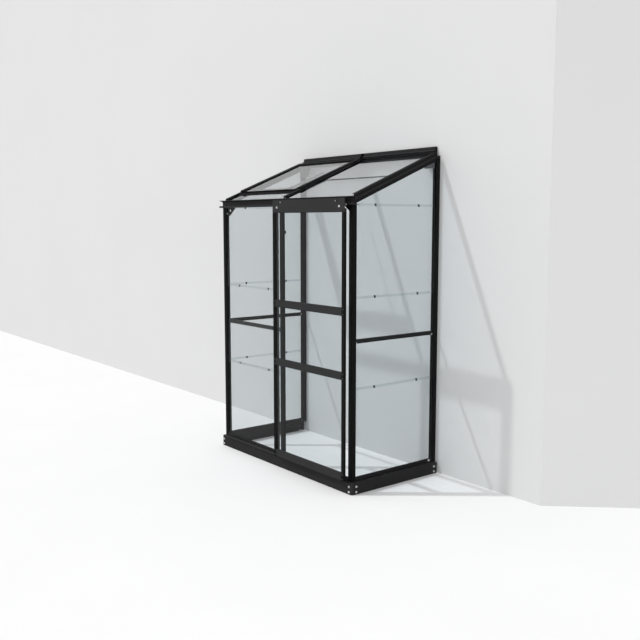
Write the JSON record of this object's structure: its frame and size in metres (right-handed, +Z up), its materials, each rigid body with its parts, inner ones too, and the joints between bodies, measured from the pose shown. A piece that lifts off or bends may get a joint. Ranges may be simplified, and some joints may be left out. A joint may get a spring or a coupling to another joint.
{
  "type": "lean-to greenhouse",
  "caption": "Narrow lean-to greenhouse with a dark aluminium frame, lapped glass panes, a sliding glazed door and a hinged roof vent.",
  "frame": {"origin": "centre of the footprint's bounding box, on the ground", "axes": "+Z up the greenhouse, +Y back towards the house wall it leans on, +X towards the side where the closed door stands"},
  "size_m": [1.3266, 0.7014, 1.8991],
  "materials": {
    "anthracite": "satin dark powder coat",
    "clear_glass": "clear horticultural glass with a faint green tint",
    "black_plastic": "moulded nylon, matt",
    "bare_aluminium": "mill finish"
  },
  "bodies": {
    "house_frame": {"base_front": "anthracite", "base_side_left": "anthracite", "base_side_right": "anthracite", "base_corner_left": "anthracite", "base_corner_right": "anthracite", "base_wall_bracket_left": "anthracite", "base_wall_bracket_right": "anthracite", "sill_front": "anthracite", "sill_side_left": "anthracite", "sill_side_right": "anthracite", "front_post_left": "anthracite", "front_post_right": "anthracite", "rear_post_left": "anthracite", "rear_post_right": "anthracite", "mullion": "anthracite", "eave_beam": "anthracite", "eave_gusset_left": "anthracite", "eave_gusset_right": "anthracite", "rafter_left": "anthracite", "rafter_right": "anthracite", "rafter_centre": "anthracite", "wall_bar": "anthracite", "ridge_cover": "anthracite", "side_bar_left": "anthracite", "side_bar_right": "anthracite", "front_bar": "anthracite", "side_glass_1_left": "clear_glass", "side_glass_1_right": "clear_glass", "side_glass_2_left": "clear_glass", "side_glass_2_right": "clear_glass", "side_glass_3_left": "clear_glass", "side_glass_3_right": "clear_glass", "side_glass_4_left": "clear_glass", "side_glass_4_right": "clear_glass", "front_glass_1": "clear_glass", "front_glass_2": "clear_glass", "front_glass_3": "clear_glass", "roof_glass_lower_left": "clear_glass", "roof_glass_lower_right": "clear_glass", "roof_glass_upper_right": "clear_glass", "vent_slam_bar": "anthracite"},
    "door": {"door_top_rail": "anthracite", "door_stile_left": "anthracite", "door_stile_right": "anthracite", "door_rail_upper": "anthracite", "door_rail_lower": "anthracite", "door_bottom_rail": "anthracite", "door_glass_top": "clear_glass", "door_glass_middle": "clear_glass", "door_glass_bottom": "clear_glass", "door_guide_left": "black_plastic", "door_guide_right": "black_plastic"},
    "door_roller_left": {"door_roller_left": "black_plastic"},
    "door_roller_right": {"door_roller_right": "black_plastic"},
    "vent": {"vent_top_rail": "anthracite", "vent_stile_left": "anthracite", "vent_stile_right": "anthracite", "vent_bottom_rail": "anthracite", "vent_glass": "clear_glass"},
    "vent_stay": {"vent_stay": "bare_aluminium"}
  },
  "joints": [
    {"name": "door_slide", "type": "slide", "parent": "house_frame", "child": "door", "axis": [-1, 0, 0], "range_m": [0, 0.615]},
    {"name": "door_roller_left_spin", "type": "hinge", "parent": "door", "child": "door_roller_left", "pos_m": [0.043, -0.31635, 1.5855], "axis": [0, -1, 0], "range_deg": [0, 3210]},
    {"name": "door_roller_right_spin", "type": "hinge", "parent": "door", "child": "door_roller_right", "pos_m": [0.56, -0.31635, 1.5855], "axis": [0, -1, 0], "range_deg": [0, 3210]},
    {"name": "vent_hinge", "type": "hinge", "parent": "house_frame", "child": "vent", "pos_m": [-0.316, 0.32565, 1.871], "axis": [-1, 0, 0], "range_deg": [0, 32]},
    {"name": "vent_stay_pivot", "type": "hinge", "parent": "vent", "child": "vent_stay", "pos_m": [-0.135, -0.12472, 1.67747], "axis": [-1, 0, 0], "range_deg": [0, 69]}
  ],
  "couplings": [
    {"joint": "door_roller_left_spin", "follows": "door_slide", "rad_per_m": 90.909},
    {"joint": "door_roller_right_spin", "follows": "door_slide", "rad_per_m": 90.909},
    {"joint": "vent_stay_pivot", "follows": "vent_hinge", "ratio": 2.118}
  ]
}
